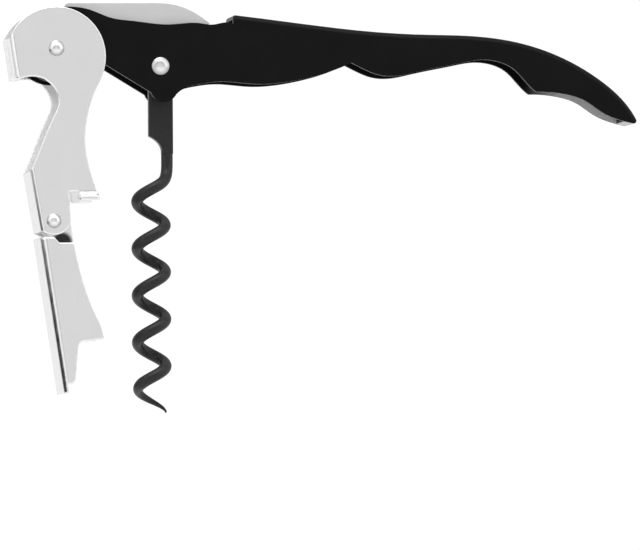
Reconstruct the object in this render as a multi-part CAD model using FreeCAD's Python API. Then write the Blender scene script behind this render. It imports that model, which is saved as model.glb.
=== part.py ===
import FreeCAD, Part
import math
import os

# Double-hinged lever corkscrew, opened for use, in millimetres.
# X runs along the handle from the head to the tail, Y across it, Z up.
# Shapes are drawn from the head rivet, then moved so that the palm point is the origin.

V = FreeCAD.Vector

# driving dimensions: handle
HANDLE_LENGTH = 120.1      # head rivet to the tip of the tail
HANDLE_WIDTH = 11.0        # over the two cheeks
HANDLE_SHEET = 1.0
NOSE_RADIUS = 6.9          # round front of the cheeks about the head rivet
SPINE_START = 36.6         # where the closed back of the channel begins
SPINE_RISE = 1.8           # step up from the open cheeks to the closed back
SPINE_BEND = 1.3           # outer radius of the folded back
PALM_X = 66.0
PALM_Z = -1.0

# driving dimensions: pivots
HEAD_PIN_RADIUS = 1.2
HEAD_DOME_RADIUS = 1.6
WORM_PIVOT_X = 21.6
WORM_PIVOT_Z = -3.5
WORM_PIN_RADIUS = 1.25
WORM_DOME_RADIUS = 1.8
JOINT_X = -0.7
JOINT_Z = -35.2
JOINT_PIN_RADIUS = 0.95
JOINT_DOME_RADIUS = 1.5
DOME_HEIGHT = 0.75
WORM_DOME_HEIGHT = 0.55    # low enough to pass inside the folded lever
RUNNING = 0.05             # radial and end clearance of every turning fit

# driving dimensions: lever arms
LEVER_SHEET = 1.0
LEVER_GAP = 0.8            # side gap between the handle and the lever, filled by the washers
LEVER_BEND = 1.1           # outer radius of the bends between cheeks and webs
HEAD_RADIUS = 10.1
HEAD_DROP = 1.57           # head disc centre below the head rivet
HOOK_RADIUS = 9.05         # outer face of the cap hook from the head rivet
HOOK_LEAN = 8.5            # degrees
HOOK_TOP = 2.2
HOOK_BOTTOM = -6.2
HOOK_SLOT = 2.0            # gap between the two hook ears that lets the blade through
HOOK_SLOT_LEFT = -11.5
HOOK_SLOT_FOOT = -8.5
HOOK_SLOT_REACH = 5.0
HOOK_SLOT_HEIGHT = 14.0
WEB_TOP = -25.0            # web between the cheeks behind the joint
WEB_BOTTOM = -37.3
WEB_X = -5.41              # web's outer face at WEB_MARK_Z, from which it slopes
WEB_MARK_Z = -25.2
WEB_SLOPE = 0.174
FOOT_X = 8.7               # outer corner of the first step
FOOT_Z = -31.0
FOOT_PAD_START = 4.4
FLARE = 1.2                # how far the pad of the first step is flared outwards
ARM_END_RADIUS = 2.9
EAR_GAP = 0.3              # side gap between the two arms at their joint
EAR_SHEET = 1.0
EAR_RADIUS = 1.6           # left side of the ear, which turns in front of the web
RIM_STEP_X = 9.5           # outer corner of the second step
RIM_STEP_Z = -59.5
ARM_TOP_Z = -38.6
ARM_FOOT_Z = -68.5
ARM_LIP_Z = -70.3          # the web runs on below the cheeks as a lip
ARM_BEND = 1.7             # outer radius of the lower arm's bends
ARM_X = -3.3               # lower web's outer face at ARM_MARK_Z
ARM_MARK_Z = -39.7
ARM_SLOPE = 0.1505
ARM_TOP_STEP = 1.1         # drop of the cheek's top edge beside the joint

# driving dimensions: worm
WIRE_RADIUS = 1.2
COIL_RADIUS = 2.85         # centre line of the wire
COIL_INSET = 0.5           # the coil stands back from the right edge of the shank
COIL_PITCH = 9.6
COIL_TURNS = 5.0
COIL_TOP = -26.0
POINT_TURNS = 0.6          # part of the last turn that is ground to a point
POINT_RADIUS = 0.2
LEAD_TURNS = 0.17          # part of the first turn taken up by the bend from the stem
LEAD_RISE = 3.2            # height above the coil at which the stem starts to bend
SHANK_WIDTH = 5.0
SHANK_RIGHT = 3.1          # right edge of the shank from the worm rivet
SHANK_END = -17.6
SHANK_THROAT = 3.6         # height over which the shank narrows to the stem
SHANK_EDGE = 0.45          # rounding along the shank's edges
EYE_RADIUS = 2.8

# driving dimensions: knife
BLADE_THICKNESS = 1.2
BLADE_LENGTH = 32.4
BLADE_BACK = 9.7
NICK_START = 20.4
NICK_LENGTH = 9.6
NICK_Z = 6.75
NICK_RADIUS = 1.6
NICK_DEPTH = 0.07

# washers and spacers
LEVER_WASHER_RADIUS = 3.4
KNIFE_SPACER_RADIUS = 2.9
WORM_SPACER_RADIUS = 2.6
JOINT_SPACER_RADIUS = 1.6

# worked out
HANDLE_HALF = HANDLE_WIDTH / 2
HANDLE_INNER = HANDLE_HALF - HANDLE_SHEET
LEVER_INNER = HANDLE_HALF + LEVER_GAP
LEVER_OUTER = LEVER_INNER + LEVER_SHEET
EAR_OUTER = LEVER_INNER - EAR_GAP
EAR_INNER = EAR_OUTER - EAR_SHEET
REACH = 40.0               # longer than any wall, for cutting tools
DRAWN_LENGTH = 120.1       # length at which the tail's curves were set out
GROOVE = 61.0              # ridge between the finger grooves, where the stretch begins
CHEEK_TOP = 5.2            # top of the open cheeks at the step of the spine
STRETCH = (HANDLE_LENGTH - GROOVE) / (DRAWN_LENGTH - GROOVE)


def at(x, z):
    return V(x, 0, z)


def line(a, b):
    return Part.LineSegment(a, b).toShape()


def arc(a, b, c):
    return Part.Arc(a, b, c).toShape()


def curve(points, start=None, end=None):
    spline = Part.BSplineCurve()
    if start and end:
        spline.interpolate(Points=points, InitialTangent=start, FinalTangent=end)
    else:
        spline.interpolate(points)
    return spline


def lines(points):
    return [line(a, b) for a, b in zip(points, points[1:])]


def face(edges):
    return Part.Face(Part.Wire(Part.__sortEdges__(edges)))


def slab(side, low, high):
    """The side view's face made solid from Y low to Y high."""
    moved = side.copy()
    moved.translate(V(0, low, 0))
    return moved.extrude(V(0, high - low, 0))


def drum(x, z, radius, low, high):
    return Part.makeCylinder(radius, high - low, V(x, low, z), V(0, 1, 0))


def round_edges(solid, radius, chosen):
    return solid.makeFillet(radius, [e for e in solid.Edges if chosen(e)])


def save(name, shape):
    shape = shape.removeSplitter()
    shape.translate(V(-PALM_X, 0, -PALM_Z))
    shape.exportStep("parts/" + name + ".step")


def sides():
    return (("near", -1), ("far", 1))


def aft(x, z):
    """Point of the tail's outline, which stretches with the length of the handle."""
    return at(GROOVE + (x - GROOVE) * STRETCH, z)


def spine_points():
    """Top line of the closed back, from its front end to the tail."""
    return [
        at(SPINE_START + 0.6, CHEEK_TOP + SPINE_RISE),
        at(50.4, 5.36),
        aft(62.8, 3.93),
        aft(75.2, 3.15),
        aft(87.6, 2.75),
        aft(95.9, 1.5),
        aft(104.2, -1.25),
        aft(112.4, -5.9),
        aft(118.4, -11.4),
        aft(DRAWN_LENGTH, -14.0),
    ]


def belly_edges():
    """Lower line of the cheeks, from the tail back to the lobe under the worm rivet."""
    tail = curve([
        aft(119.3, -15.1),
        aft(117.0, -14.5),
        aft(113.4, -13.1),
        aft(109.3, -10.4),
        aft(105.2, -9.1),
        aft(99.3, -8.65),
    ]).toShape()
    last_groove = curve([
        aft(99.3, -8.65),
        aft(97.4, -6.9),
        aft(94.4, -3.8),
        aft(91.0, -2.35),
        aft(87.4, -2.1),
        aft(83.5, -2.78),
        aft(75.2, -4.46),
        aft(70.6, -5.4),
        aft(66.6, -5.2),
        aft(63.7, -4.1),
        aft(GROOVE, -2.75),
    ]).toShape()
    first_groove = curve([
        at(GROOVE, -2.75),
        at(57.2, -4.35),
        at(52.5, -5.75),
        at(47.4, -6.75),
        at(41.1, -7.15),
        at(34.0, -6.65),
        at(29.8, -7.15),
        at(25.9, -8.4),
        at(24.75, -9.4),
    ]).toShape()
    lobe = arc(at(24.75, -9.4), at(22.9, -10.75), at(19.6, -8.9))
    return [tail, last_groove, first_groove, lobe]


def nose_edges():
    """Straight run from the lobe to the round nose, and the nose itself."""
    corner = at(7.6, -1.25)
    top = math.radians(120)
    first = at(NOSE_RADIUS * math.cos(top), NOSE_RADIUS * math.sin(top))
    last = at(corner.x, corner.z)
    last.multiply(NOSE_RADIUS / last.Length)
    front = math.radians(235)
    middle = at(NOSE_RADIUS * math.cos(front), NOSE_RADIUS * math.sin(front))
    return [line(at(19.6, -8.9), last), arc(last, middle, first)], first


def cheek_top(first):
    """Open top of the cheeks beside the folded blade, up to the step of the spine."""
    return curve([
        first,
        at(-0.2, 8.2),
        at(4.0, 8.55),
        at(7.2, 7.95),
        at(11.2, 6.4),
        at(16.0, 5.7),
        at(23.6, 5.0),
        at(29.6, 5.3),
        at(32.4, 5.0),
        at(34.8, 5.45),
        at(SPINE_START, CHEEK_TOP),
    ]).toShape()


def inner_spine(outer):
    """The spine's line moved inwards by the sheet thickness, square to the line."""
    moved = []
    for point in spine_points():
        tangent = outer.tangent(outer.parameter(point))[0]
        inward = V(-tangent.z, 0, tangent.x)
        if inward.z > 0:
            inward = inward.negative()
        moved.append(point + inward.multiply(HANDLE_SHEET))
    return moved


def back_rounder(spine, side):
    """Cutter swept along the back that rounds the fold into one cheek."""
    start = spine.value(spine.FirstParameter)
    end = spine.value(spine.LastParameter)
    along = spine.tangent(spine.FirstParameter)[0]
    lead = start - along * 2
    tail = end + spine.tangent(spine.LastParameter)[0] * 2
    path = Part.Wire([line(lead, start), spine.toShape(), line(end, tail)])
    down = V(along.z, 0, -along.x)
    inward = V(0, -side, 0)
    fold = lead + V(0, side * HANDLE_HALF, 0)
    on_cheek = fold + down * SPINE_BEND
    on_back = fold + inward * SPINE_BEND
    middle = on_cheek + inward * SPINE_BEND - (down + inward) * (SPINE_BEND / math.sqrt(2))
    clear = 0.5
    profile = [arc(on_cheek, middle, on_back)] + lines([
        on_back,
        on_back - down * clear,
        fold - (down + inward) * clear,
        on_cheek - inward * clear,
        on_cheek,
    ])
    pipe = Part.BRepOffsetAPI.MakePipeShell(path)
    pipe.setBiNormalMode(V(0, 1, 0))
    pipe.add(Part.Wire(profile))
    pipe.build()
    pipe.makeSolid()
    return pipe.shape()


def handle_channel():
    spine = curve(spine_points())
    corner = spine_points()[0]
    step = lines([at(SPINE_START, CHEEK_TOP), at(SPINE_START, corner.z - 0.6)])
    rounding = arc(
        at(SPINE_START, corner.z - 0.6),
        at(SPINE_START + 0.18, corner.z - 0.18),
        corner,
    )
    tip = arc(spine_points()[-1], aft(DRAWN_LENGTH - 0.1, -14.9), aft(119.3, -15.1))
    nose, first = nose_edges()
    outline = nose + [cheek_top(first)] + step + [rounding, spine.toShape(), tip] + belly_edges()
    body = slab(face(outline), -HANDLE_HALF, HANDLE_HALF)
    for _, side in sides():
        body = body.cut(back_rounder(spine, side))

    inner = inner_spine(spine)
    inner = [at(SPINE_START - 1.0, inner[0].z)] + inner[1:-1]
    last = inner[-1]
    below = [last, at(last.x, -REACH), at(-REACH, -REACH), at(-REACH, REACH)]
    below = below + [at(SPINE_START, REACH), at(SPINE_START, inner[0].z)]
    roof = curve([at(SPINE_START, inner[0].z)] + inner[1:]).toShape()
    hollow = slab(face([roof] + lines(below)), -HANDLE_INNER, HANDLE_INNER)
    body = body.cut(hollow)
    body = body.cut(drum(0, 0, HEAD_PIN_RADIUS + RUNNING, -REACH, REACH))
    pin = drum(WORM_PIVOT_X, WORM_PIVOT_Z, WORM_PIN_RADIUS + RUNNING, -REACH, REACH)
    return body.cut(pin)


def dome(x, z, radius, height, base, side):
    """Low domed head standing on the plane Y = base, on the side given by side."""
    ball = (radius ** 2 + height ** 2) / (2 * height)
    centre = V(x, side * (base + height - ball), z)
    low, high = sorted((side * base, side * (base + height + 1)))
    cap = drum(x, z, radius + 1, low, high)
    return Part.makeSphere(ball, centre).common(cap)


def rivet(x, z, pin_radius, dome_radius, half_grip, height=DOME_HEIGHT):
    shape = drum(x, z, pin_radius, -half_grip, half_grip)
    for _, side in sides():
        shape = shape.fuse(dome(x, z, dome_radius, height, half_grip, side))
    return shape


def ring(x, z, outer, pin_radius, inner_y, outer_y, side):
    low, high = sorted((side * inner_y, side * outer_y))
    return drum(x, z, outer, low, high).cut(drum(x, z, pin_radius + RUNNING, -REACH, REACH))


def hook_line(z, depth):
    """X of the hook's face at height z, depth inside its outer face."""
    lean = math.radians(HOOK_LEAN)
    return -(HOOK_RADIUS - depth) / math.cos(lean) - z * math.tan(lean)


def web_line(z, depth):
    """X of the lower web's face at height z on the upper arm."""
    return WEB_X + (WEB_MARK_Z - z) * WEB_SLOPE + depth


def upper_outline():
    lean_top = at(hook_line(HOOK_TOP, 0), HOOK_TOP)
    head_bottom = at(HEAD_RADIUS, -HEAD_DROP)
    head = arc(lean_top, at(0, HEAD_RADIUS - HEAD_DROP), head_bottom)
    right = curve(
        [
            head_bottom,
            at(9.36, -5.66),
            at(7.46, -9.73),
            at(6.15, -15.0),
            at(5.85, -19.0),
            at(6.35, -23.0),
            at(7.5, -27.2),
            at(FOOT_X, FOOT_Z + 0.7),
        ],
        V(0, 0, -1),
        V(0.4, 0, -1),
    ).toShape()
    pad_corner = arc(
        at(FOOT_X, FOOT_Z + 0.7),
        at(FOOT_X - 0.1, FOOT_Z + 0.15),
        at(FOOT_X - 0.6, FOOT_Z),
    )
    pad_left = arc(
        at(FOOT_PAD_START + 0.7, FOOT_Z),
        at(FOOT_PAD_START + 0.2, FOOT_Z + 0.2),
        at(FOOT_PAD_START, FOOT_Z + 0.7),
    )
    pad = [line(at(FOOT_X - 0.6, FOOT_Z), at(FOOT_PAD_START + 0.7, FOOT_Z))]
    inner_corner = at(2.45, FOOT_Z + 1.8)
    end_right = at(JOINT_X + ARM_END_RADIUS + 0.65, JOINT_Z + 0.2)
    step = lines([
        at(FOOT_PAD_START, FOOT_Z + 0.7),
        at(FOOT_PAD_START, FOOT_Z + 1.8),
        inner_corner,
        end_right,
    ])
    end_left = at(web_line(WEB_BOTTOM, 0), WEB_BOTTOM)
    end = arc(end_right, at(JOINT_X + 0.9, JOINT_Z - ARM_END_RADIUS + 0.12), at(JOINT_X - 1.1, JOINT_Z - 2.7))
    side = lines([at(JOINT_X - 1.1, JOINT_Z - 2.7), end_left, at(web_line(WEB_TOP, 0), WEB_TOP)])
    notch = curve([
        at(web_line(WEB_TOP, 0), WEB_TOP),
        at(-4.2, -22.5),
        at(-2.3, -17.8),
        at(-0.55, -13.9),
        at(0.5, -10.8),
        at(-0.5, -8.0),
        at(-2.7, -6.2),
        at(-5.0, -5.75),
        at(hook_line(HOOK_BOTTOM, LEVER_SHEET), HOOK_BOTTOM),
    ]).toShape()
    hook = lines([
        at(hook_line(HOOK_BOTTOM, LEVER_SHEET), HOOK_BOTTOM),
        at(hook_line(HOOK_BOTTOM, 0), HOOK_BOTTOM),
        lean_top,
    ])
    return [head, right, pad_corner] + pad + [pad_left] + step + [end] + side + [notch] + hook


def strip(line_x, top, bottom, sheet):
    """Side view of a web: a band one sheet thick along the arm's left edge."""
    corners = [
        at(line_x(top, 0), top),
        at(line_x(top, sheet), top),
        at(line_x(bottom, sheet), bottom),
        at(line_x(bottom, 0), bottom),
        at(line_x(top, 0), top),
    ]
    return face(lines(corners))


def flared_pad(side):
    """Pad of the first step, flared outwards so that it rests on a rim without marking it."""
    profile = Part.makeBox(
        FOOT_X - FOOT_PAD_START - 0.7, FLARE + LEVER_SHEET, FLARE + 0.9,
        V(FOOT_PAD_START + 0.35, LEVER_INNER, FOOT_Z),
    )
    hollow = Part.makeCylinder(
        FLARE, FOOT_X, V(FOOT_PAD_START - 1, LEVER_OUTER + FLARE, FOOT_Z + 0.9 + FLARE), V(1, 0, 0)
    )
    pad = profile.cut(hollow)
    if side < 0:
        pad = pad.mirror(V(0, 0, 0), V(0, 1, 0))
    return pad


def round_bend(body, line_x, top, bottom, radius):
    """Rounds the outside of the bends between a web and both cheeks."""
    size = radius + 1
    length = top - bottom + 2
    slope = line_x(1, 0) - line_x(0, 0)
    for _, side in sides():
        tool = Part.makeBox(size, size, length, V(-1, -radius, -1))
        tool = tool.cut(Part.makeCylinder(radius, length, V(radius, -radius, -1)))
        tool.rotate(V(0, 0, 0), V(0, 1, 0), math.degrees(math.atan(slope)))
        tool.translate(V(line_x(bottom, 0), LEVER_OUTER, bottom))
        if side < 0:
            tool = tool.mirror(V(0, 0, 0), V(0, 1, 0))
        body = body.cut(tool)
    return body


def lever_upper_arm():
    outline = face(upper_outline())
    body = slab(outline, LEVER_INNER, LEVER_OUTER).fuse(slab(outline, -LEVER_OUTER, -LEVER_INNER))
    hook = strip(hook_line, HOOK_TOP, HOOK_BOTTOM, LEVER_SHEET)
    web = strip(web_line, WEB_TOP, WEB_BOTTOM, LEVER_SHEET)
    body = body.fuse(slab(hook, -LEVER_OUTER, LEVER_OUTER)).fuse(slab(web, -LEVER_OUTER, LEVER_OUTER))
    body = round_bend(body, hook_line, HOOK_TOP, HOOK_BOTTOM, LEVER_BEND)
    body = round_bend(body, web_line, WEB_TOP, WEB_BOTTOM, LEVER_BEND)
    for _, side in sides():
        body = body.fuse(flared_pad(side))
    slot_corner = V(HOOK_SLOT_LEFT, -HOOK_SLOT / 2, HOOK_SLOT_FOOT)
    slot = Part.makeBox(HOOK_SLOT_REACH, HOOK_SLOT, HOOK_SLOT_HEIGHT, slot_corner)
    body = body.cut(slot)
    body = body.cut(drum(0, 0, HEAD_PIN_RADIUS + RUNNING, -REACH, REACH))
    return body.cut(drum(JOINT_X, JOINT_Z, JOINT_PIN_RADIUS + RUNNING, -REACH, REACH))


def arm_line(z, depth):
    """X of the lower arm's web face at height z."""
    return ARM_X + (ARM_MARK_Z - z) * ARM_SLOPE + depth


def lower_outline():
    top = ARM_TOP_Z
    top_left = at(arm_line(top, 0), top)
    bottom_left = at(arm_line(ARM_FOOT_Z, 0), ARM_FOOT_Z)
    low_top = top - ARM_TOP_STEP
    top_edge = lines([top_left, at(-0.6, top), at(0.4, low_top), at(3.4, low_top)])
    right = curve([
        at(3.4, low_top),
        at(4.9, -46.3),
        at(7.4, -53.5),
        at(8.9, -56.8),
        at(RIM_STEP_X, RIM_STEP_Z + 0.2),
    ]).toShape()
    step = lines([
        at(RIM_STEP_X, RIM_STEP_Z + 0.2),
        at(5.1, RIM_STEP_Z - 0.35),
    ])
    corner = arc(at(5.1, RIM_STEP_Z - 0.35), at(4.5, RIM_STEP_Z - 0.65), at(4.2, RIM_STEP_Z - 1.3))
    toe = lines([
        at(4.2, RIM_STEP_Z - 1.3),
        at(3.6, ARM_FOOT_Z + 0.8),
        at(2.9, ARM_FOOT_Z),
        bottom_left,
        top_left,
    ])
    return top_edge + [right] + step + [corner] + toe


def tongue(side):
    """Ear of the lower arm that reaches inside the upper arm, with the joggle that carries it."""
    low, high = sorted((side * EAR_INNER, side * EAR_OUTER))
    shape = drum(JOINT_X, JOINT_Z, EAR_RADIUS, low, high)
    shape = shape.fuse(drum(JOINT_X + 1.1, JOINT_Z - 0.6, ARM_END_RADIUS - 0.3, low, high))
    neck = face(lines([
        at(JOINT_X - 1.2, JOINT_Z - 1.05),
        at(JOINT_X + 3.7, JOINT_Z - 0.6),
        at(3.9, -43.2),
        at(-0.9, -43.2),
        at(-1.0, -39.0),
        at(JOINT_X - 1.2, JOINT_Z - 1.05),
    ]))
    shape = shape.fuse(slab(neck, low, high))
    low, high = sorted((side * EAR_INNER, side * (LEVER_INNER + 0.1)))
    joggle = face(lines([
        at(-0.55, -41.0),
        at(3.45, -41.0),
        at(3.9, -43.2),
        at(-0.9, -43.2),
        at(-0.55, -41.0),
    ]))
    return shape.fuse(slab(joggle, low, high))


def lever_lower_arm():
    outline = face(lower_outline())
    body = slab(outline, LEVER_INNER, LEVER_OUTER).fuse(slab(outline, -LEVER_OUTER, -LEVER_INNER))
    web = strip(arm_line, ARM_TOP_Z, ARM_LIP_Z, LEVER_SHEET)
    body = body.fuse(slab(web, -LEVER_OUTER, LEVER_OUTER))
    body = round_bend(body, arm_line, ARM_TOP_Z, ARM_LIP_Z, ARM_BEND)
    for _, side in sides():
        body = body.fuse(tongue(side))
    return body.cut(drum(JOINT_X, JOINT_Z, JOINT_PIN_RADIUS + RUNNING, -REACH, REACH))


def coil_axis():
    return WORM_PIVOT_X + SHANK_RIGHT - COIL_INSET - WIRE_RADIUS - COIL_RADIUS


def coil_spine(turns, base, turns_above):
    """Centre line of the stretch of the coil that has turns_above over its upper end."""
    spine = Part.makeHelix(COIL_PITCH, COIL_PITCH * turns, COIL_RADIUS)
    spine.rotate(V(0, 0, 0), V(0, 0, 1), -360.0 * (turns + turns_above))
    spine.translate(V(coil_axis(), 0, base))
    return Part.Wire(spine.Edges)


def ring_at(point, direction, radius):
    return Part.Wire([Part.Circle(point, direction, radius).toShape()])


def wire_along(spine, first_radius, last_radius, frenet):
    """Round wire swept along one edge, its radius running from one value to the other."""
    edge = spine.Edges[0]
    first, last = edge.FirstParameter, edge.LastParameter
    pipe = Part.BRepOffsetAPI.MakePipeShell(spine)
    pipe.setFrenetMode(frenet)
    pipe.add(ring_at(edge.valueAt(first), edge.tangentAt(first), first_radius))
    pipe.add(ring_at(edge.valueAt(last), edge.tangentAt(last), last_radius))
    pipe.build()
    pipe.makeSolid()
    return pipe.shape()


def lead_in(wire_x):
    """Bend that carries the straight stem round into the coil."""
    turn = math.tau * LEAD_TURNS
    across, back = COIL_RADIUS * math.cos(turn), -COIL_RADIUS * math.sin(turn)
    stem_end = V(wire_x, 0, COIL_TOP + LEAD_RISE)
    coil_start = V(coil_axis() + across, back, COIL_TOP - COIL_PITCH * LEAD_TURNS)
    bend = curve([stem_end, coil_start], V(0, 0, -1), V(back, -across, -COIL_PITCH / math.tau))
    return wire_along(Part.Wire([bend.toShape()]), WIRE_RADIUS, WIRE_RADIUS, False)


def shank():
    """Flat plate that turns on the worm rivet and narrows down to the stem."""
    right = WORM_PIVOT_X + SHANK_RIGHT
    left = right - SHANK_WIDTH
    stem_left = right - 2 * WIRE_RADIUS + 0.1
    narrow = SHANK_END - SHANK_THROAT
    throat = curve([
        at(left, SHANK_END),
        at(left + 1.35, SHANK_END - 0.8),
        at(left + 2.2, SHANK_END - 1.7),
        at(stem_left, narrow),
    ]).toShape()
    sides_and_foot = lines([
        at(stem_left, narrow),
        at(right, narrow),
        at(right, WORM_PIVOT_Z),
        at(left, WORM_PIVOT_Z),
        at(left, SHANK_END),
    ])
    plate = slab(face(sides_and_foot + [throat]), -WIRE_RADIUS, WIRE_RADIUS)
    plate = round_edges(plate, SHANK_EDGE, lambda e: e.BoundBox.YLength < 0.01 and e.BoundBox.ZLength > 10)
    eye = drum(WORM_PIVOT_X, WORM_PIVOT_Z, EYE_RADIUS, -WIRE_RADIUS, WIRE_RADIUS)
    return plate.fuse(eye)


def worm():
    wire_x = WORM_PIVOT_X + SHANK_RIGHT - WIRE_RADIUS
    stem_end = COIL_TOP + LEAD_RISE
    stem = Part.makeCylinder(WIRE_RADIUS, SHANK_END - stem_end, V(wire_x, 0, stem_end))
    foot = COIL_TOP - COIL_PITCH * COIL_TURNS
    full = COIL_TURNS - LEAD_TURNS - POINT_TURNS
    coil = coil_spine(full, foot + COIL_PITCH * POINT_TURNS, LEAD_TURNS)
    point = coil_spine(POINT_TURNS, foot, COIL_TURNS - POINT_TURNS)
    body = shank().fuse([
        stem,
        lead_in(wire_x),
        wire_along(coil, WIRE_RADIUS, WIRE_RADIUS, True),
        wire_along(point, POINT_RADIUS, WIRE_RADIUS, True),
    ])
    return body.cut(drum(WORM_PIVOT_X, WORM_PIVOT_Z, WORM_PIN_RADIUS + RUNNING, -REACH, REACH))


def knife_blade():
    back = BLADE_BACK
    tip = BLADE_LENGTH
    outline = [
        arc(at(2.6, 8.6), at(2.85, back - 0.25), at(3.4, back - 0.05)),
        line(at(3.4, back - 0.05), at(21.4, back)),
        curve([
            at(21.4, back),
            at(25.1, back - 0.35),
            at(tip - 3.8, back - 1.6),
            at(tip, back - 4.1),
        ], V(1, 0, 0), V(1, 0, -0.75)).toShape(),
        curve([
            at(tip, back - 4.1),
            at(tip - 3.5, 3.1),
            at(tip - 10.0, 1.7),
            at(tip - 17.0, 2.0),
            at(tip - 23.0, 0.9),
        ]).toShape(),
        line(at(tip - 23.0, 0.9), at(2.2, -2.4)),
        arc(at(2.2, -2.4), at(-3.26, 0), at(0.9, 3.3)),
        line(at(0.9, 3.3), at(2.6, 8.6)),
    ]
    body = slab(face(outline), -BLADE_THICKNESS / 2, BLADE_THICKNESS / 2)
    nick_axis = V(NICK_START, NICK_DEPTH - NICK_RADIUS - BLADE_THICKNESS / 2, NICK_Z)
    body = body.cut(Part.makeCylinder(NICK_RADIUS, NICK_LENGTH, nick_axis, V(1, 0, 0)))
    return body.cut(drum(0, 0, HEAD_PIN_RADIUS + RUNNING, -REACH, REACH))


def main():
    os.makedirs("parts", exist_ok=True)
    save("handle_channel", handle_channel())
    save("lever_upper_arm", lever_upper_arm())
    save("lever_lower_arm", lever_lower_arm())
    save("worm", worm())
    save("knife_blade", knife_blade())
    save("head_rivet", rivet(0, 0, HEAD_PIN_RADIUS, HEAD_DOME_RADIUS, LEVER_OUTER + RUNNING))
    save("joint_rivet", rivet(JOINT_X, JOINT_Z, JOINT_PIN_RADIUS, JOINT_DOME_RADIUS, LEVER_OUTER))
    worm_rivet = rivet(
        WORM_PIVOT_X, WORM_PIVOT_Z, WORM_PIN_RADIUS, WORM_DOME_RADIUS, HANDLE_HALF, WORM_DOME_HEIGHT
    )
    save("worm_rivet", worm_rivet)
    spacer = drum(JOINT_X, JOINT_Z, JOINT_SPACER_RADIUS, -EAR_INNER, EAR_INNER)
    save("joint_spacer", spacer.cut(drum(JOINT_X, JOINT_Z, JOINT_PIN_RADIUS + RUNNING, -REACH, REACH)))
    blade_side = BLADE_THICKNESS / 2 + RUNNING
    worm_side = WIRE_RADIUS + RUNNING
    for name, side in sides():
        washer = ring(0, 0, LEVER_WASHER_RADIUS, HEAD_PIN_RADIUS, HANDLE_HALF, LEVER_INNER - RUNNING, side)
        save("lever_washer_" + name, washer)
        spacer = ring(0, 0, KNIFE_SPACER_RADIUS, HEAD_PIN_RADIUS, blade_side, HANDLE_INNER, side)
        save("knife_spacer_" + name, spacer)
        spacer = ring(
            WORM_PIVOT_X, WORM_PIVOT_Z, WORM_SPACER_RADIUS, WORM_PIN_RADIUS, worm_side, HANDLE_INNER, side
        )
        save("worm_spacer_" + name, spacer)


main()
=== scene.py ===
import math
import bpy
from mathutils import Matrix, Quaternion, Vector


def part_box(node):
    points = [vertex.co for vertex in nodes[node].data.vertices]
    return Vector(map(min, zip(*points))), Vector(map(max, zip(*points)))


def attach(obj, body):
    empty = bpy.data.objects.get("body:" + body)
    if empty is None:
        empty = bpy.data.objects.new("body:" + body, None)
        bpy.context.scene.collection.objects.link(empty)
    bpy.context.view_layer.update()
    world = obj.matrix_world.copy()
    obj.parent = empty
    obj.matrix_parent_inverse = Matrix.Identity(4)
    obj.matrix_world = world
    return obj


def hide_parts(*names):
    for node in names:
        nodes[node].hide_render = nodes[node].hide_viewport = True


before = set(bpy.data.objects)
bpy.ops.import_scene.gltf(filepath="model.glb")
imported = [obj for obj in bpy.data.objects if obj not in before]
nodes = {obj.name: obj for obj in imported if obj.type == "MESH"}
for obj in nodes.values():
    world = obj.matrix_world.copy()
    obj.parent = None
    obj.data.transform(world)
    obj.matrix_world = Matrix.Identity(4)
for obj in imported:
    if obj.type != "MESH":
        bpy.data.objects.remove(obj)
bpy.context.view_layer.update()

mm = 0.001


def middleOf(node):
    low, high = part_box(node)
    return (low + high) / 2


headPivot = middleOf("head_rivet")
jointPivot = middleOf("joint_rivet")


def wipeSelection():
    if bpy.context.object and bpy.context.object.mode != "OBJECT":
        bpy.ops.object.mode_set(mode="OBJECT")
    bpy.ops.object.select_all(action="DESELECT")


def makeActive(piece):
    wipeSelection()
    piece.select_set(True)
    bpy.context.view_layer.objects.active = piece


def applyModifier(piece, kind, **values):
    makeActive(piece)
    modifier = piece.modifiers.new(kind.lower(), kind)
    for name, value in values.items():
        setattr(modifier, name, value)
    bpy.ops.object.modifier_apply(modifier=modifier.name)


mergeLimits = {"gap": 0.002 * mm, "flatWithin": 0.3}  # metres, degrees


def refinedCopy(node, name):
    # a merged copy of the frame's part, with flat regions as single faces
    mesh = nodes[node].data.copy()
    mesh.materials.clear()
    piece = bpy.data.objects.new(name, mesh)
    bpy.context.scene.collection.objects.link(piece)
    makeActive(piece)
    bpy.ops.mesh.customdata_custom_splitnormals_clear()
    bpy.ops.object.mode_set(mode="EDIT")
    bpy.ops.mesh.select_all(action="SELECT")
    bpy.ops.mesh.remove_doubles(threshold=mergeLimits["gap"])
    bpy.ops.mesh.dissolve_limited(angle_limit=math.radians(mergeLimits["flatWithin"]))
    bpy.ops.object.mode_set(mode="OBJECT")
    return piece


def smoothPiece(piece, angle=32):  # degrees, above which an edge stays sharp
    makeActive(piece)
    bpy.ops.object.shade_smooth_by_angle(angle=math.radians(angle))


def finishPiece(piece, body, materials, replaced):
    for material in materials:
        piece.data.materials.append(material)
    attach(piece, body)
    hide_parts(*replaced)


def flattenNormals(piece):
    applyModifier(piece, "WEIGHTED_NORMAL", mode="FACE_AREA", weight=100, keep_sharp=True)


def newMaterial(name):
    material = bpy.data.materials.new(name)
    material.use_nodes = True
    tree = material.node_tree
    shader = tree.nodes["Principled BSDF"]
    return material, tree, shader


def addNode(tree, kind, **values):
    node = tree.nodes.new(kind)
    for name, value in values.items():
        if name in node.inputs:
            node.inputs[name].default_value = value
        else:
            setattr(node, name, value)
    return node


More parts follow.
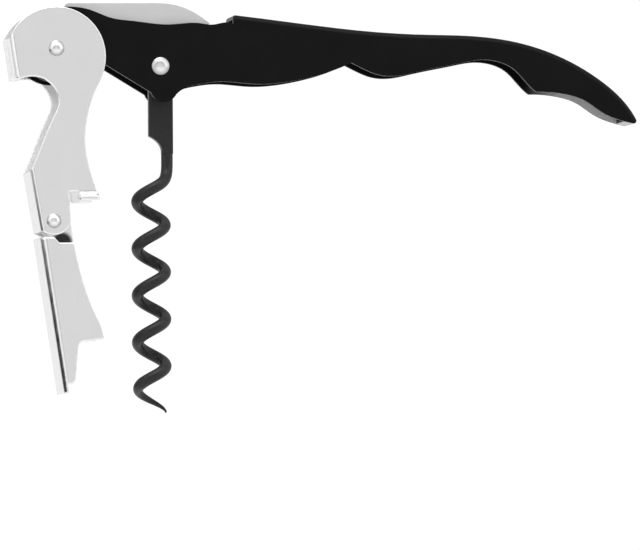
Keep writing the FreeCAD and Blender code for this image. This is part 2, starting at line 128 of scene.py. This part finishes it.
def fineScratchGroup():
    # long hair scratches and a slow cloudiness, in object coordinates
    look = {"hairScale": 1800, "hairDetail": 6, "from": 0.35, "to": 0.7, "cloudScale": 160, "cloudDetail": 3}
    group = bpy.data.node_groups.new("fineScratches", "ShaderNodeTree")
    for name, default in (("Scale", 1.0), ("Stretch X", 1.0), ("Stretch Z", 1.0)):
        socket = group.interface.new_socket(name, in_out="INPUT", socket_type="NodeSocketFloat")
        socket.default_value = default
    group.interface.new_socket("Scratches", in_out="OUTPUT", socket_type="NodeSocketFloat")
    group.interface.new_socket("Cloud", in_out="OUTPUT", socket_type="NodeSocketFloat")
    entry = group.nodes.new("NodeGroupInput")
    leave = group.nodes.new("NodeGroupOutput")
    place = group.nodes.new("ShaderNodeTexCoord")
    stretch = group.nodes.new("ShaderNodeCombineXYZ")
    stretch.inputs["Y"].default_value = 1
    group.links.new(entry.outputs["Stretch X"], stretch.inputs["X"])
    group.links.new(entry.outputs["Stretch Z"], stretch.inputs["Z"])
    scaled = group.nodes.new("ShaderNodeVectorMath")
    scaled.operation = "MULTIPLY"
    group.links.new(place.outputs["Object"], scaled.inputs[0])
    group.links.new(stretch.outputs["Vector"], scaled.inputs[1])
    sized = group.nodes.new("ShaderNodeVectorMath")
    sized.operation = "SCALE"
    group.links.new(scaled.outputs["Vector"], sized.inputs[0])
    group.links.new(entry.outputs["Scale"], sized.inputs["Scale"])
    hair = addNode(
        group, "ShaderNodeTexNoise", Scale=look["hairScale"], Detail=look["hairDetail"], Roughness=0.6
    )
    group.links.new(sized.outputs["Vector"], hair.inputs["Vector"])
    sharpen = addNode(group, "ShaderNodeMapRange")
    sharpen.inputs["From Min"].default_value = look["from"]
    sharpen.inputs["From Max"].default_value = look["to"]
    group.links.new(hair.outputs["Fac"], sharpen.inputs["Value"])
    cloud = addNode(
        group, "ShaderNodeTexNoise", Scale=look["cloudScale"], Detail=look["cloudDetail"], Roughness=0.5
    )
    group.links.new(place.outputs["Object"], cloud.inputs["Vector"])
    group.links.new(sharpen.outputs["Result"], leave.inputs["Scratches"])
    group.links.new(cloud.outputs["Fac"], leave.inputs["Cloud"])
    return group


fineScratches = fineScratchGroup()


def placeScratches(tree, scale, stretchX, stretchZ):
    node = tree.nodes.new("ShaderNodeGroup")
    node.node_tree = fineScratches
    node.inputs["Scale"].default_value = scale
    node.inputs["Stretch X"].default_value = stretchX
    node.inputs["Stretch Z"].default_value = stretchZ
    return node


def spread(tree, source, low, high):
    # maps a 0 to 1 mask to a range of values
    node = addNode(tree, "ShaderNodeMapRange")
    node.inputs["To Min"].default_value = low
    node.inputs["To Max"].default_value = high
    tree.links.new(source, node.inputs["Value"])
    return node.outputs["Result"]


def blendColours(tree, mask, first, second):
    node = tree.nodes.new("ShaderNodeMix")
    node.data_type = "RGBA"
    node.inputs["A"].default_value = (*first, 1)
    node.inputs["B"].default_value = (*second, 1)
    tree.links.new(mask, node.inputs["Factor"])
    return node.outputs["Result"]


def addBump(tree, shader, height, distance, strength, rolled=0):
    # rolled is the radius in metres that the sharp edges are softened to
    bump = addNode(tree, "ShaderNodeBump", Distance=distance, Strength=strength)
    tree.links.new(height, bump.inputs["Height"])
    if rolled:
        soft = addNode(tree, "ShaderNodeBevel", Radius=rolled)
        soft.samples = 8
        tree.links.new(soft.outputs["Normal"], bump.inputs["Normal"])
    tree.links.new(bump.outputs["Normal"], shader.inputs["Normal"])


def radialMaskGroup():
    # 0 at a pin's axis, rising to 1 at the given radius
    group = bpy.data.node_groups.new("radialMask", "ShaderNodeTree")
    for name in ("Centre X", "Centre Z", "Radius"):
        group.interface.new_socket(name, in_out="INPUT", socket_type="NodeSocketFloat")
    group.interface.new_socket("Mask", in_out="OUTPUT", socket_type="NodeSocketFloat")
    entry = group.nodes.new("NodeGroupInput")
    leave = group.nodes.new("NodeGroupOutput")
    place = group.nodes.new("ShaderNodeTexCoord")
    split = group.nodes.new("ShaderNodeSeparateXYZ")
    group.links.new(place.outputs["Object"], split.inputs["Vector"])
    flat = group.nodes.new("ShaderNodeCombineXYZ")
    group.links.new(split.outputs["X"], flat.inputs["X"])
    group.links.new(split.outputs["Z"], flat.inputs["Z"])
    centre = group.nodes.new("ShaderNodeCombineXYZ")
    group.links.new(entry.outputs["Centre X"], centre.inputs["X"])
    group.links.new(entry.outputs["Centre Z"], centre.inputs["Z"])
    away = group.nodes.new("ShaderNodeVectorMath")
    away.operation = "DISTANCE"
    group.links.new(flat.outputs["Vector"], away.inputs[0])
    group.links.new(centre.outputs["Vector"], away.inputs[1])
    ratio = group.nodes.new("ShaderNodeMath")
    ratio.operation = "DIVIDE"
    ratio.use_clamp = True
    group.links.new(away.outputs["Value"], ratio.inputs[0])
    group.links.new(entry.outputs["Radius"], ratio.inputs[1])
    group.links.new(ratio.outputs["Value"], leave.inputs["Mask"])
    return group


radialMask = radialMaskGroup()


def placeRadial(tree, centre, radius):
    node = tree.nodes.new("ShaderNodeGroup")
    node.node_tree = radialMask
    node.inputs["Centre X"].default_value = centre.x
    node.inputs["Centre Z"].default_value = centre.z
    node.inputs["Radius"].default_value = radius
    return node.outputs["Mask"]


def rivetMaterial(name, centre, radius):
    # the rim of the dome is painted darker than the crown: painted shade where the dome turns away from the
    # light
    look = {
        "crown": (0.68, 0.68, 0.68), "rim": (0.26, 0.26, 0.26), "shadeFrom": 0.45,
        "smooth": 0.24, "rough": 0.36, "depth": 0.08 * mm, "bump": 0.25,
    }
    material, tree, shader = newMaterial(name)
    shader.inputs["Metallic"].default_value = 1
    mask = placeRadial(tree, centre, radius)
    late = addNode(tree, "ShaderNodeMapRange")
    late.inputs["From Min"].default_value = look["shadeFrom"]
    tree.links.new(mask, late.inputs["Value"])
    colour = blendColours(tree, late.outputs["Result"], look["crown"], look["rim"])
    tree.links.new(colour, shader.inputs["Base Color"])
    scratches = placeScratches(tree, 1.0, 1.0, 1.0)
    rough = spread(tree, scratches.outputs["Scratches"], look["smooth"], look["rough"])
    tree.links.new(rough, shader.inputs["Roughness"])
    addBump(tree, shader, scratches.outputs["Cloud"], look["depth"], look["bump"])
    return material


def creaseShade(tree, colour, look):
    # painted shade: a dark patch in the colour where the ear bends out below the upper arm's round end,
    # standing in for the shade in that crease
    centre = jointPivot + Vector((look["right"], 0, -look["below"]))
    mask = placeRadial(tree, centre, look["outer"])
    inside = addNode(tree, "ShaderNodeMapRange", interpolation_type="SMOOTHSTEP")
    inside.inputs["From Min"].default_value = look["inner"] / look["outer"]
    inside.inputs["From Max"].default_value = 1
    inside.inputs["To Min"].default_value = 1
    inside.inputs["To Max"].default_value = 0
    tree.links.new(mask, inside.inputs["Value"])
    mixed = tree.nodes.new("ShaderNodeMix")
    mixed.data_type = "RGBA"
    tree.links.new(inside.outputs["Result"], mixed.inputs["Factor"])
    tree.links.new(colour, mixed.inputs["A"])
    mixed.inputs["B"].default_value = (*look["paintedShade"], 1)
    return mixed.outputs["Result"]


def metalMaterial(look, crease=None):
    material, tree, shader = newMaterial(look["name"])
    scratches = placeScratches(tree, look["scale"], look["stretchX"], look["stretchZ"])
    shader.inputs["Metallic"].default_value = 1
    colour = blendColours(tree, scratches.outputs["Cloud"], look["dark"], look["light"])
    # the crease look, when given, paints a dark shade patch into the colour
    if crease:
        colour = creaseShade(tree, colour, crease)
    tree.links.new(colour, shader.inputs["Base Color"])
    rough = spread(tree, scratches.outputs["Scratches"], look["smooth"], look["rough"])
    tree.links.new(rough, shader.inputs["Roughness"])
    addBump(tree, shader, scratches.outputs["Scratches"], look["depth"], look["bump"], look["rolled"])
    return material


platedLook = {
    "name": "satinPlate", "scale": 1.0, "stretchX": 1.0, "stretchZ": 0.25,
    "dark": (0.67, 0.67, 0.67), "light": (0.715, 0.715, 0.715),
    "smooth": 0.16, "rough": 0.24, "depth": 0.01 * mm, "bump": 0.05, "rolled": 0.55 * mm,
}
# inside faces: the same plating painted lighter, a painted highlight so that they read near white; rougher
# than the outside
innerLook = {
    "name": "innerPlate", "scale": 0.8, "stretchX": 1.0, "stretchZ": 0.3,
    "dark": (0.86, 0.86, 0.86), "light": (0.92, 0.92, 0.92),
    "smooth": 0.4, "rough": 0.55, "depth": 0.01 * mm, "bump": 0.04, "rolled": 0.38 * mm,
}
bladeLook = {
    "name": "groundBlade", "scale": 1.0, "stretchX": 0.12, "stretchZ": 1.0,
    "dark": (0.58, 0.58, 0.58), "light": (0.62, 0.62, 0.62),
    "smooth": 0.3, "rough": 0.36, "depth": 0.005 * mm, "bump": 0.01, "rolled": 0.1 * mm,
}
rawLook = {
    "name": "rawSteel", "scale": 0.7, "stretchX": 0.3, "stretchZ": 1.0,
    "dark": (0.50, 0.50, 0.49), "light": (0.62, 0.62, 0.61),
    "smooth": 0.3, "rough": 0.45, "depth": 0.02 * mm, "bump": 0.15, "rolled": 0.08 * mm,
}


def blackEnamel(name, paleReflectionFrom=None):
    # the X given here is where the inside of the tail starts to be painted pale: a painted reflection on the
    # black enamel
    look = {
        "base": (0.0021, 0.0021, 0.0022), "worn": (0.0038, 0.0038, 0.0039),
        "pale": (0.34, 0.34, 0.34), "paleFade": 9 * mm, "specular": 0.075,
        "smooth": 0.3, "rough": 0.42, "peelScale": 2600, "peelDepth": 0.02 * mm, "peel": 0.12,
        "scale": 0.5, "stretchX": 0.3, "stretchZ": 1.0, "rolled": 0.16 * mm,
    }
    material, tree, shader = newMaterial(name)
    scratches = placeScratches(tree, look["scale"], look["stretchX"], look["stretchZ"])
    colour = blendColours(tree, scratches.outputs["Cloud"], look["base"], look["worn"])
    if paleReflectionFrom is not None:
        where = tree.nodes.new("ShaderNodeTexCoord")
        split = tree.nodes.new("ShaderNodeSeparateXYZ")
        tree.links.new(where.outputs["Object"], split.inputs["Vector"])
        fade = addNode(tree, "ShaderNodeMapRange", interpolation_type="SMOOTHSTEP")
        fade.inputs["From Min"].default_value = paleReflectionFrom
        fade.inputs["From Max"].default_value = paleReflectionFrom + look["paleFade"]
        tree.links.new(split.outputs["X"], fade.inputs["Value"])
        pale = tree.nodes.new("ShaderNodeMix")
        pale.data_type = "RGBA"
        tree.links.new(fade.outputs["Result"], pale.inputs["Factor"])
        tree.links.new(colour, pale.inputs["A"])
        pale.inputs["B"].default_value = (*look["pale"], 1)
        colour = pale.outputs["Result"]
    tree.links.new(colour, shader.inputs["Base Color"])
    rough = spread(tree, scratches.outputs["Cloud"], look["smooth"], look["rough"])
    tree.links.new(rough, shader.inputs["Roughness"])
    shader.inputs["Specular IOR Level"].default_value = look["specular"]
    place = tree.nodes.new("ShaderNodeTexCoord")
    peel = addNode(tree, "ShaderNodeTexNoise", Scale=look["peelScale"], Detail=2)
    tree.links.new(place.outputs["Object"], peel.inputs["Vector"])
    addBump(tree, shader, peel.outputs["Fac"], look["peelDepth"], look["peel"], look["rolled"])
    return material


def wormCoating():
    look = {
        "base": (0.008, 0.008, 0.008), "fleck": (0.02, 0.02, 0.02), "specular": 0.2,
        "smooth": 0.28, "rough": 0.48, "fleckScale": 5200, "depth": 0.03 * mm, "bump": 0.3,
        "rolled": 0.2 * mm,
    }
    material, tree, shader = newMaterial("wormCoating")
    place = tree.nodes.new("ShaderNodeTexCoord")
    flecks = addNode(tree, "ShaderNodeTexNoise", Scale=look["fleckScale"], Detail=3, Roughness=0.7)
    tree.links.new(place.outputs["Object"], flecks.inputs["Vector"])
    mask = spread(tree, flecks.outputs["Fac"], -0.5, 1.5)  # past 0 and 1, so that the flecks have edges
    tree.links.new(blendColours(tree, mask, look["base"], look["fleck"]), shader.inputs["Base Color"])
    rough = spread(tree, flecks.outputs["Fac"], look["smooth"], look["rough"])
    tree.links.new(rough, shader.inputs["Roughness"])
    shader.inputs["Specular IOR Level"].default_value = look["specular"]
    addBump(tree, shader, flecks.outputs["Fac"], look["depth"], look["bump"], look["rolled"])
    return material


satinPlate = metalMaterial(platedLook)
# plating for the ears, with a painted shade patch in the crease below the joint
jointPlate = metalMaterial(
    {**platedLook, "name": "jointPlate"},
    {
        "right": 1.8 * mm, "below": 4.3 * mm, "inner": 1.5 * mm, "outer": 2.5 * mm,
        "paintedShade": (0.03, 0.03, 0.03),
    },
)
innerPlate = metalMaterial(innerLook)
groundBlade = metalMaterial(bladeLook)
rawSteel = metalMaterial(rawLook)
enamel = blackEnamel("blackEnamel")
paleTail = 22 * mm  # length of the tail whose inside is painted pale, a painted reflection
innerEnamel = blackEnamel("innerEnamel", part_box("handle_channel")[1].x - paleTail)
coating = wormCoating()
print("materials ready")


def dressNodes():
    for name in ("head_rivet", "joint_rivet", "worm_rivet"):
        low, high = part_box(name)
        material = rivetMaterial(name + "_steel", (low + high) / 2, (high.x - low.x) / 2)
        nodes[name].data.materials.clear()
        nodes[name].data.materials.append(material)
    for name in nodes:
        if "washer" in name or "spacer" in name:
            nodes[name].data.materials.clear()
            nodes[name].data.materials.append(rawSteel)


def leverArm(node, name, body):
    # outside, inside, and the ears that stand inside the other arm
    look = {"earReach": 0.7 * mm, "flatAcross": 0.8}
    piece = refinedCopy(node, name)
    smoothPiece(piece)
    flattenNormals(piece)
    finishPiece(piece, body, [satinPlate, innerPlate, jointPlate], [node])
    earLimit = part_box("handle_channel")[1].y + look["earReach"]
    for face in piece.data.polygons:
        if abs(face.normal.y) < look["flatAcross"]:
            continue
        if face.normal.y * face.center.y < 0:
            face.material_index = 1
        elif abs(face.center.y) < earLimit:
            face.material_index = 2


def handleShell():
    look = {"sheet": 0.9 * mm, "flatAcross": 0.8, "facingDown": -0.05}
    piece = refinedCopy("handle_channel", "handleShell")
    smoothPiece(piece)
    flattenNormals(piece)
    finishPiece(piece, "handle", [enamel, innerEnamel], ["handle_channel"])
    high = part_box("handle_channel")[1]
    for face in piece.data.polygons:
        centre = face.center
        inward = face.normal.y * centre.y < 0 and abs(face.normal.y) > look["flatAcross"]
        roof = abs(centre.y) < high.y - look["sheet"] and face.normal.z < look["facingDown"]
        if inward or roof:
            face.material_index = 1


def foilKnife():
    piece = refinedCopy("knife_blade", "foilKnife")
    smoothPiece(piece)
    flattenNormals(piece)
    finishPiece(piece, "knife", [groundBlade], ["knife_blade"])


def wormPiece():
    look = {"smoothUnder": 50}  # degrees
    piece = refinedCopy("worm", "wormSteel")
    smoothPiece(piece, look["smoothUnder"])
    finishPiece(piece, "worm", [coating], ["worm"])


dressNodes()
leverArm("lever_upper_arm", "upperArm", "lever")
leverArm("lever_lower_arm", "lowerArm", "rim_arm")
print("lever arms done")
handleShell()
foilKnife()
wormPiece()
print("handle, knife and worm done")


def paleFloor():
    look = {"depth": 0.26, "size": 6.0, "paper": (0.85, 0.85, 0.85), "rough": 0.9}
    bpy.ops.mesh.primitive_plane_add(size=look["size"], location=(0, 0, -look["depth"]))
    floor = bpy.context.object
    floor.name = "paleFloor"
    material, tree, shader = newMaterial("floorPaper")
    shader.inputs["Base Color"].default_value = (*look["paper"], 1)
    shader.inputs["Roughness"].default_value = look["rough"]
    floor.data.materials.append(material)


def studioWorld():
    # brightness by angle from the camera side: front, dark band, bright sides, dark band, backdrop
    look = {"front": 0.96, "thinBand": 0.3, "rim": 1.9, "sides": 0.88, "backBand": 0.5, "backdrop": 1.04}
    world = bpy.data.worlds.new("studio")
    bpy.context.scene.world = world
    world.use_nodes = True
    tree = world.node_tree
    background = tree.nodes["Background"]
    place = tree.nodes.new("ShaderNodeTexCoord")
    split = tree.nodes.new("ShaderNodeSeparateXYZ")
    tree.links.new(place.outputs["Generated"], split.inputs["Vector"])
    share = spread(tree, split.outputs["Y"], 0, 1)
    share.node.inputs["From Min"].default_value = -1
    ramp = tree.nodes.new("ShaderNodeValToRGB")
    stops = ramp.color_ramp.elements
    bands = (
        (22, "front"), (28, "thinBand"), (36, "thinBand"), (44, "rim"), (82, "rim"),
        (96, "sides"), (124, "sides"), (132, "backBand"), (152, "backBand"), (160, "backdrop"),
    )
    while len(stops) < len(bands):
        stops.new(0.5)
    for stop, (angle, name) in zip(stops, bands):
        stop.position = (1 - math.cos(math.radians(angle))) / 2
        stop.color = (look[name],) * 3 + (1,)
    tree.links.new(share, ramp.inputs["Fac"])
    tree.links.new(ramp.outputs["Color"], background.inputs["Color"])


def darkCard(name, node):
    # a black flag beside the node that only reflections see
    look = {"azimuth": -100, "distance": 0.3, "below": 0.075, "width": 0.4, "height": 0.12}
    a = math.radians(look["azimuth"])
    centre = middleOf(node) + Vector((0, 0, -look["below"]))
    place = centre + Vector((math.sin(a), -math.cos(a), 0)) * look["distance"]
    bpy.ops.mesh.primitive_plane_add(size=1, location=place, rotation=(math.pi / 2, 0, a))
    card = bpy.context.object
    card.name = name
    card.scale = (look["width"], look["height"], 1)
    material, tree, shader = newMaterial(name)
    shader.inputs["Base Color"].default_value = (0.01, 0.01, 0.01, 1)
    shader.inputs["Roughness"].default_value = 1
    shader.inputs["Specular IOR Level"].default_value = 0
    card.data.materials.append(material)
    card.visible_camera = False
    card.visible_diffuse = False
    card.visible_shadow = False


def softLight(name):
    look = {"place": (-0.2, -0.3, 0.9), "size": 0.8, "power": 6, "aimRight": 0.05, "aimBelow": 0.02}
    bpy.ops.object.light_add(type="AREA", location=look["place"])
    light = bpy.context.object
    light.name = name
    light.data.size = look["size"]
    light.data.energy = look["power"]
    toward = headPivot + Vector((look["aimRight"], 0, -look["aimBelow"])) - Vector(look["place"])
    light.rotation_euler = toward.to_track_quat("-Z", "Y").to_euler()


def productCamera():
    look = {
        "azimuth": -8.28, "elevation": -2.2, "roll": -0.35, "distance": 2.3, "lens": 631.5,
        "right": 55.0 * mm, "below": 46.0 * mm,
    }
    a, e = math.radians(look["azimuth"]), math.radians(look["elevation"])
    back = Vector((math.sin(a) * math.cos(e), -math.cos(a) * math.cos(e), math.sin(e)))
    target = headPivot + Vector((look["right"], 0, -look["below"]))
    bpy.ops.object.camera_add(location=target + back * look["distance"])
    camera = bpy.context.object
    camera.name = "productCamera"
    level = (-back).to_track_quat("-Z", "Y")
    tilt = Quaternion((0, 0, 1), math.radians(look["roll"]))
    camera.rotation_euler = (level @ tilt).to_euler()
    camera.data.lens = look["lens"]
    camera.data.sensor_width = 36
    camera.data.clip_end = 20
    bpy.context.scene.camera = camera


paleFloor()
studioWorld()
darkCard("leftFlag", "lever_lower_arm")
softLight("topSoftbox")
productCamera()
bpy.context.scene.view_settings.view_transform = "Standard"
print("stage and camera ready")
